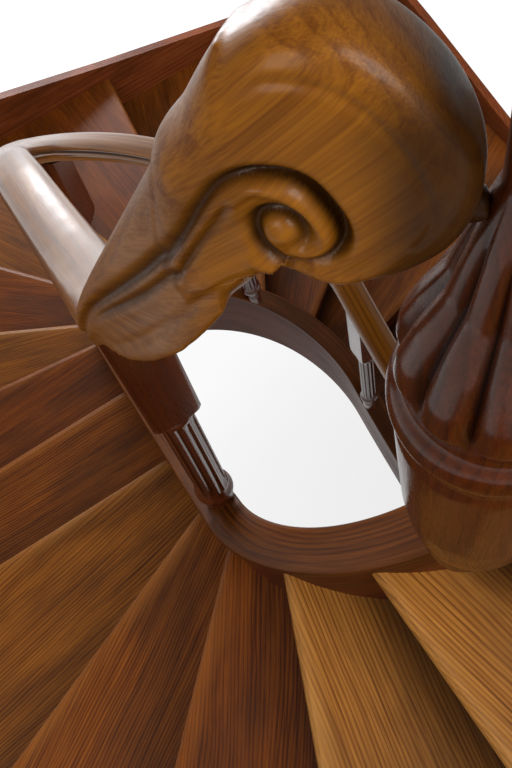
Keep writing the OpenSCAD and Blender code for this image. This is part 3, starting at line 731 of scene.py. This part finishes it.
# The back is carved like the face, which lies lower there because of the lean
depth, groove = carving(t, h + np.where(facing < 0, RAIL_W * math.tan(LEAN), 0))
share = ramp01(np.abs(facing), 0.25, 0.6) * ramp01(t, WREATH_START, CARVED_FROM)
shaped(wreath, co - normals * (depth * share)[:, None])
wreath.data.polygons.foreach_set("use_smooth", [True] * len(wreath.data.polygons))
keep(wreath, "grain",
     np.stack([t * GRAIN_AHEAD + h * GRAIN_UP, h * GRAIN_AHEAD - t * GRAIN_UP, facing * 40], 1) / 1000)
# Painted shade on the scroll's side next to the newel, carried in the same attribute as the grooves'
# darkening
painted_shade = ramp01(t, *PAINTED_SHADE_AHEAD) * (1 - ramp01(h, *PAINTED_SHADE_UP))
keep(wreath, "dirt", np.clip(groove * share / 7, painted_shade, 1))
stand_for(paint(wreath, SCROLL_WOOD), "handrail_wreath")


def turned(name, s, off, base, profile, around, shape, low=None, high=None):
    """A turned post beside the string at s. shape gives radius and darkening at an angle, height and plain
    radius.

    Its heights stay over low and under high, which follow what the post stands on and holds.
    """
    x, y = well_pt(s, off)
    turn = well_dir(s)
    rings, grain, dirt = [], [], []
    for z, r in profile:
        ring = []
        for i in range(around):
            a = 2 * math.pi * i / around
            q, d = shape(a, z, r)
            ahead = q * math.sin(a)
            top = base + z
            if low:
                top = max(top, low(s + ahead) - 1)
            if high:
                top = min(top, high(s + ahead) + 1)
            ring.append((x + q * math.cos(a + turn), y + q * math.sin(a + turn), top))
            grain.append((z / 1000, q * math.cos(a) / 1000, ahead / 1000))
            dirt.append(d)
        rings.append(ring)
    return loft(name, rings, grain=grain, dirt=dirt)


def lobed(height):
    """The carved lobes round a newel between its ring and its neck."""
    def shape(a, z, r):
        """The radius and the darkening at an angle and a height."""
        u = z / height
        k = float(ramp01(u, 0.535, 0.575) * (1 - ramp01(u, 0.74, 0.86)))
        valley = 1 - abs(math.sin(LOBES * a / 2))
        return r * (1 + k * (0.045 - 0.17 * valley ** 1.6)), k * valley ** 3
    return shape


NEWEL_SIDES, BALUSTER_SIDES = 120, 144
FINIAL = [(TOP_H + 60 * u, NECK_R * r) for r, u in ((1.15, 0.1), (1.2, 0.35), (1, 0.7), (0.45, 1))]
top_profile = eased([(-45, 0.7 * BULB_R)] + newel_form(TOP_H) + FINIAL, 9, 3.2, 9)
newel = turned("newel_top_post", TOP_S, NEWEL_OFF, TOP_BASE, top_profile, NEWEL_SIDES, lobed(TOP_H),
               low=cap_top)
stand_for(paint(sharpen(newel, 60), NEWEL_WOOD), "newel_top")

foot_base = FLOOR_Z + RISER
foot_h = rail_top(FOOT_S) - foot_base
foot_profile = eased(newel_form(foot_h), 9, 3.2, 9)
drum = [(-RISER, 0.9 * BULB_R), (-6, 0.9 * BULB_R), (0, 0.84 * BULB_R)]
newel = turned("newel_foot_post", FOOT_S, -STRING_T / 2, foot_base, drum + foot_profile[1:], NEWEL_SIDES,
               lobed(foot_h), high=lambda s: rail_top(s) - RAIL_D)
stand_for(paint(sharpen(newel, 50), NEWEL_WOOD), "newel_foot")

FLUTE_LOW, FLUTE_TOP, FLUTE_END, FLUTE_DEPTH, BLOCK_LOW = 92, 420, 12, 4.6, 448
FOOT_R = STRING_T / 2 + CAP_OUT - RAIL_IN


def fluted(a, z, r):
    """A baluster's shaft between its flutes' ends, and its square block with turned lower corners."""
    if z > BLOCK_LOW + 2:
        square = BLOCK_W / 2 / max(abs(math.cos(a)), abs(math.sin(a)))
        return min(r, square), 0
    k = float(ramp01(z, FLUTE_LOW, FLUTE_LOW + FLUTE_END) * (1 - ramp01(z, FLUTE_TOP - FLUTE_END, FLUTE_TOP)))
    x = abs((a * FLUTES / (2 * math.pi)) % 1 - 0.5) / 0.4
    groove = math.sqrt(max(0.0, 1 - x * x))
    return r - FLUTE_DEPTH * k * groove, 0.5 * k * groove ** 2


lower = eased([(-30, FOOT_R), (26, FOOT_R), (40, FOOT_R - 4), (58, SHAFT_R + 3), (66, SHAFT_R + 7),
               (76, SHAFT_R + 7), (86, SHAFT_R + 1), (FLUTE_LOW, SHAFT_R), (FLUTE_TOP, SHAFT_R),
               (426, SHAFT_R + 5), (434, SHAFT_R + 5), (440, SHAFT_R), (BLOCK_LOW, SHAFT_R)], 4, 2.0, 24)
upper = eased([(451, SHAFT_R + 3), (464, 0.66 * BLOCK_W), (482, 0.72 * BLOCK_W)], 4, 3.0)
upper = [(z, min(r, 0.7 * BLOCK_W)) for z, r in upper]
TOP_BALUSTER = SIDE_2 - BLOCK_W / 2 - 1
for group, numbers in {"upper": (0, 1, 2), "lower": (3, 4)}.items():
    for i in numbers:
        s = TOP_BALUSTER - i * BALUSTER_GAP
        foot = cap_top(s)
        profile = lower + upper + [(rail_top(s) - foot, 0.7 * BLOCK_W)]
        post = turned(f"baluster_{group}_{i}", s, RAIL_C, foot, profile, BALUSTER_SIDES, fluted, low=cap_top,
                      high=lambda x: rail_top(x) - RAIL_D)
        paint(sharpen(post, 35), BALUSTER_WOOD)
        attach(post, "root")
        if i == numbers[0]:
            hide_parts(f"balusters_{group}")

# A pale floor that the camera and reflections see nearly white, with the stair's shadow on it
FLOOR_HALF, WHITE_SHARE = 30000, 0.8
floor_n = Nodes("pale_floor")
floor_n.bsdf.inputs["Base Color"].default_value = (0.93, 0.93, 0.94, 1)
floor_n.bsdf.inputs["Roughness"].default_value = 0.8
floor_n.bsdf.inputs["Specular IOR Level"].default_value = 0.2
ray = floor_n.node("LightPath").outputs
seen = floor_n.math("ADD", floor_n.add(ray["Is Camera Ray"], ray["Is Glossy Ray"]),
                    ray["Is Transmission Ray"], True)
white = floor_n.node("Emission", {"Color": (1, 1, 1, 1)}).outputs[0]
mixed = floor_n.node("MixShader", {0: floor_n.times(seen, WHITE_SHARE), 1: floor_n.bsdf.outputs[0], 2: white})
mixed = mixed.outputs[0]
floor_n.put(mixed, floor_n.tree.nodes["Material Output"].inputs["Surface"])
corners = [(x * FLOOR_HALF, y * FLOOR_HALF, FLOOR_Z - 0.5) for x, y in ((-1, -1), (1, -1), (1, 1), (-1, 1))]
floor = new_object("floor", corners, [(0, 1, 2, 3)], smooth=False)
paint(floor, floor_n.material)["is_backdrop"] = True

world = bpy.data.worlds.new("soft_world")
bpy.context.scene.world = world
world.use_nodes = True
world.node_tree.nodes["Background"].inputs[0].default_value = (1.0, 0.985, 0.96, 1)
world.node_tree.nodes["Background"].inputs[1].default_value = 0.42


def lamp(name, place, target, size, power, colour):
    """A round soft lamp at a place, turned to a target, both in metres."""
    data = bpy.data.lights.new(name, "AREA")
    data.shape, data.size, data.energy, data.color = "DISK", size, power, colour
    obj = bpy.data.objects.new(name, data)
    bpy.context.scene.collection.objects.link(obj)
    obj.location = place
    obj.rotation_mode = "QUATERNION"
    obj.rotation_quaternion = (Vector(target) - Vector(place)).to_track_quat("-Z", "Y")


lamp("window", (2.5, 5.2, 0.9), (1.2, 0.0, 0.4), 2.6, 360, (0.93, 0.96, 1.0))
lamp("key", (3.4, -3.6, 6.0), (1.4, -0.6, 0.2), 3.0, 330, (1.0, 0.97, 0.92))
lamp("fill", (-2.2, -1.6, 5.0), (1.2, 0.0, 0.2), 3.0, 150, (1.0, 0.97, 0.93))

# The photo's camera: its focal length and the picture's height in pixels, its place in metres, its turn in
# degrees
FOCAL_PX, PICTURE_H = 1000, 768
CAMERA_PLACE, CAMERA_TURN = (1.134, -1.025, 2.229), (24.418, 7.982, -31.857)
camera_data = bpy.data.cameras.new("camera")
camera = bpy.data.objects.new("camera", camera_data)
bpy.context.scene.collection.objects.link(camera)
bpy.context.scene.camera = camera
camera_data.sensor_width, camera_data.lens = 36, 36 * FOCAL_PX / PICTURE_H
camera_data.clip_start, camera_data.clip_end = 0.02, 60
camera.location = CAMERA_PLACE
camera.rotation_euler = Euler([math.radians(a) for a in CAMERA_TURN], "XYZ")
bpy.context.scene.view_settings.view_transform = "Standard"

low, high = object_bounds()
